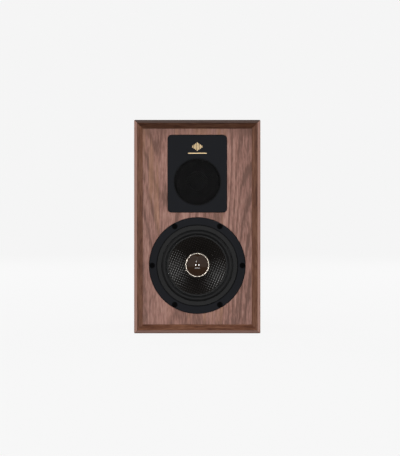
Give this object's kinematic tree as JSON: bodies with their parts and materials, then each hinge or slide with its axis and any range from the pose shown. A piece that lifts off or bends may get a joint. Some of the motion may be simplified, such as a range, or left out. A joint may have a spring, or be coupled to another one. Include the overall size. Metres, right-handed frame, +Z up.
{
  "type": "bookshelf loudspeaker",
  "caption": "Two-way bookshelf loudspeaker: walnut box, bevelled frame, domed-grille tweeter, woven-cone woofer, rear reflex ports and screw posts.",
  "frame": {"origin": "middle of the cabinet's flat underside", "axes": "+Z up, front baffle faces -Y, +X to the listener's right as they face the speaker"},
  "size_m": [0.2, 0.286, 0.338],
  "materials": {
    "cabinet_veneer": "satin open-pore walnut veneer, grain upright on the sides",
    "baffle_veneer": "satin walnut veneer with fine upright grain",
    "trim_wood": "satin solid walnut, mitred at the corners",
    "brace_board": "bare fibreboard",
    "wadding": "loose white polyester fibre",
    "cast_frame": "satin black powder coat",
    "gasket_foam": "closed-cell foam",
    "black_screw": "black zinc",
    "surround_rubber": "smooth matt rubber",
    "woven_cone": "black woven cloth under clear resin",
    "dust_cap_lacquer": "glossy dark brown lacquer",
    "ring_metal": "polished rose-tinted metal",
    "spider_cloth": "resin-stiffened cotton",
    "coil_copper": "enamelled copper wire",
    "plated_steel": "zinc-plated steel",
    "ferrite": "dull dark grey ceramic magnet",
    "tag_fibre": "brown laminate with tinned tags",
    "tinsel": "braided copper",
    "faceplate": "satin black moulding",
    "mesh_wire": "black woven wire",
    "badge_foil": "brushed gold foil",
    "chassis_plastic": "black moulding",
    "dome_silk": "coated black silk",
    "port_plastic": "satin black moulding",
    "cup_plastic": "textured black moulding",
    "bush_plastic": "black insulator",
    "gold_metal": "polished gold plate",
    "knob_red": "glossy red cap",
    "knob_black": "glossy black cap",
    "circuit_board": "green fibreglass laminate",
    "choke_copper": "wound copper wire",
    "capacitor_film": "yellow film wrap",
    "resistor_ceramic": "white cement",
    "lead_insulation": "red and black insulation"
  },
  "bodies": {
    "cabinet": {"left_side_panel": "cabinet_veneer", "right_side_panel": "cabinet_veneer", "top_panel": "cabinet_veneer", "bottom_panel": "cabinet_veneer", "back_panel": "cabinet_veneer", "front_baffle": "baffle_veneer", "front_trim_left": "trim_wood", "front_trim_right": "trim_wood", "front_trim_top": "trim_wood", "front_trim_bottom": "trim_wood", "window_brace": "brace_board", "damping_wadding": "wadding", "woofer_frame": "cast_frame", "woofer_gasket": "gasket_foam", "woofer_screws": "black_screw", "woofer_surround": "surround_rubber", "woofer_spider": "spider_cloth", "woofer_top_plate": "plated_steel", "woofer_magnet": "ferrite", "woofer_yoke": "plated_steel", "woofer_terminals": "tag_fibre", "woofer_tinsel_leads": "tinsel", "tweeter_faceplate": "faceplate", "tweeter_mesh": "mesh_wire", "tweeter_badge": "badge_foil", "tweeter_chassis": "chassis_plastic", "tweeter_gasket": "gasket_foam", "tweeter_screws": "black_screw", "tweeter_surround": "dome_silk", "tweeter_top_plate": "plated_steel", "tweeter_magnet": "ferrite", "tweeter_yoke": "plated_steel", "tweeter_rear_chamber": "chassis_plastic", "tweeter_terminals": "tag_fibre", "port_tubes": "port_plastic", "terminal_cup": "cup_plastic", "terminal_screws": "black_screw", "post_bushes": "bush_plastic", "post_studs": "gold_metal", "post_inner_nuts": "gold_metal", "jumper_links": "gold_metal", "crossover_board": "circuit_board", "crossover_inductors": "choke_copper", "crossover_capacitors": "capacitor_film", "crossover_resistors": "resistor_ceramic", "internal_wiring": "lead_insulation"},
    "woofer_moving": {"woofer_cone": "woven_cone", "woofer_dust_cap": "dust_cap_lacquer", "woofer_cap_ring": "ring_metal", "woofer_voice_coil": "coil_copper"},
    "tweeter_moving": {"tweeter_dome": "dome_silk", "tweeter_voice_coil": "coil_copper"},
    "washer_upper_plus": {"post_washer_upper_plus": "gold_metal"},
    "knob_upper_plus": {"post_knob_upper_plus": "knob_red"},
    "washer_upper_minus": {"post_washer_upper_minus": "gold_metal"},
    "knob_upper_minus": {"post_knob_upper_minus": "knob_black"},
    "washer_lower_plus": {"post_washer_lower_plus": "gold_metal"},
    "knob_lower_plus": {"post_knob_lower_plus": "knob_red"},
    "washer_lower_minus": {"post_washer_lower_minus": "gold_metal"},
    "knob_lower_minus": {"post_knob_lower_minus": "knob_black"}
  },
  "joints": [
    {"name": "woofer_excursion", "type": "slide", "parent": "cabinet", "child": "woofer_moving", "axis": [0, -1, 0], "range_m": [-0.005, 0.005], "stiffness_N_per_m": 1000, "deforming": ["woofer_surround", "woofer_spider", "woofer_tinsel_leads"]},
    {"name": "tweeter_excursion", "type": "slide", "parent": "cabinet", "child": "tweeter_moving", "axis": [0, -1, 0], "range_m": [-0.0005, 0.0005], "stiffness_N_per_m": 300, "deforming": ["tweeter_surround"]},
    {"name": "upper_plus_travel", "type": "slide", "parent": "cabinet", "child": "washer_upper_plus", "axis": [0, 1, 0], "range_m": [0, 0.005]},
    {"name": "upper_plus_turn", "type": "hinge", "parent": "washer_upper_plus", "child": "knob_upper_plus", "pos_m": [-0.014, 0.13, 0.091], "axis": [0, 1, 0], "range_deg": [0, 1800]},
    {"name": "upper_minus_travel", "type": "slide", "parent": "cabinet", "child": "washer_upper_minus", "axis": [0, 1, 0], "range_m": [0, 0.005]},
    {"name": "upper_minus_turn", "type": "hinge", "parent": "washer_upper_minus", "child": "knob_upper_minus", "pos_m": [0.014, 0.13, 0.091], "axis": [0, 1, 0], "range_deg": [0, 1800]},
    {"name": "lower_plus_travel", "type": "slide", "parent": "cabinet", "child": "washer_lower_plus", "axis": [0, 1, 0], "range_m": [0, 0.005]},
    {"name": "lower_plus_turn", "type": "hinge", "parent": "washer_lower_plus", "child": "knob_lower_plus", "pos_m": [-0.014, 0.13, 0.059], "axis": [0, 1, 0], "range_deg": [0, 1800]},
    {"name": "lower_minus_travel", "type": "slide", "parent": "cabinet", "child": "washer_lower_minus", "axis": [0, 1, 0], "range_m": [0, 0.005]},
    {"name": "lower_minus_turn", "type": "hinge", "parent": "washer_lower_minus", "child": "knob_lower_minus", "pos_m": [0.014, 0.13, 0.059], "axis": [0, 1, 0], "range_deg": [0, 1800]}
  ],
  "couplings": [
    {"joint": "upper_plus_travel", "follows": "upper_plus_turn", "m_per_rad": 0.00015915},
    {"joint": "upper_minus_travel", "follows": "upper_minus_turn", "m_per_rad": 0.00015915},
    {"joint": "lower_plus_travel", "follows": "lower_plus_turn", "m_per_rad": 0.00015915},
    {"joint": "lower_minus_travel", "follows": "lower_minus_turn", "m_per_rad": 0.00015915}
  ]
}
